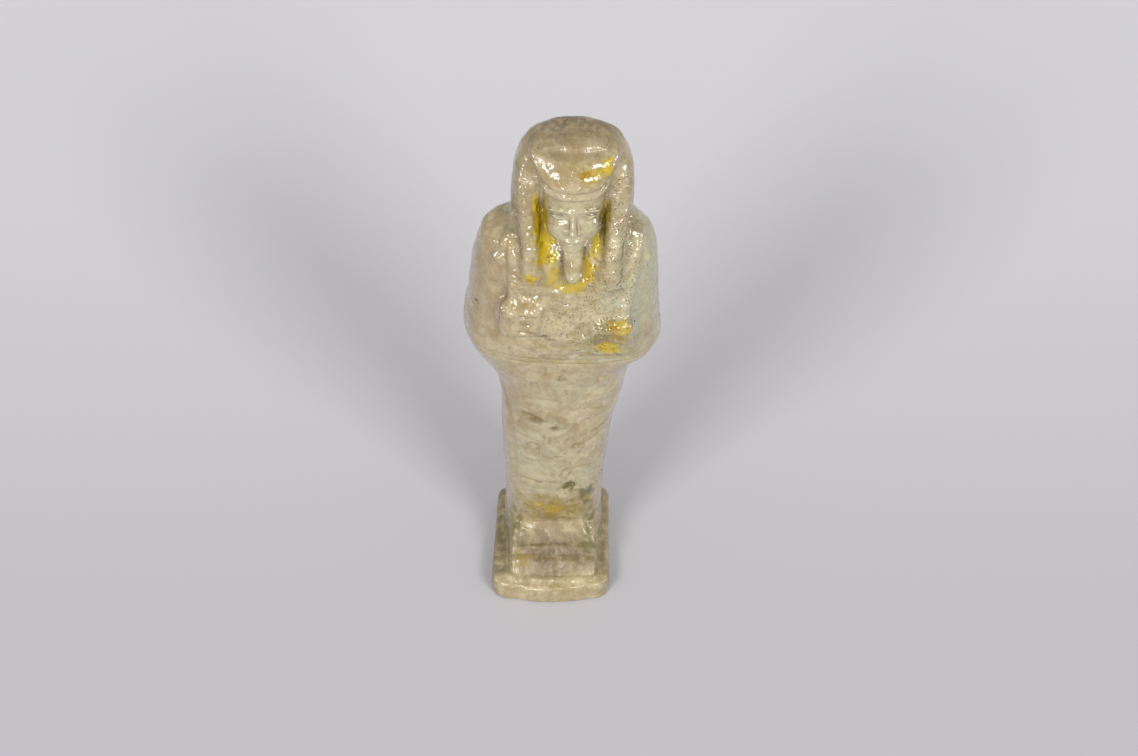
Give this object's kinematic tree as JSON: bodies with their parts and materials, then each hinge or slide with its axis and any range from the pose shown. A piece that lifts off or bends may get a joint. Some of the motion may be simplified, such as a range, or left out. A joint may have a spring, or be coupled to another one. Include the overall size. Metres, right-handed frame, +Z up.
{
  "type": "ushabti figurine",
  "caption": "Small mummiform funerary figurine of glazed faience with wig, false beard and crossed arms, standing on its own plinth.",
  "frame": {"origin": "middle of the plinth's flat underside", "axes": "+Z up along the figure's height, the figure looks along -Y, and +X is at its left hand"},
  "size_m": [0.0379, 0.0268, 0.1197],
  "materials": {
    "faience": "worn semi-gloss olive-beige glaze with pale green patches, brown weathering and yellow deposits"
  },
  "bodies": {
    "root": {"ushabti": "faience"}
  },
  "joints": []
}
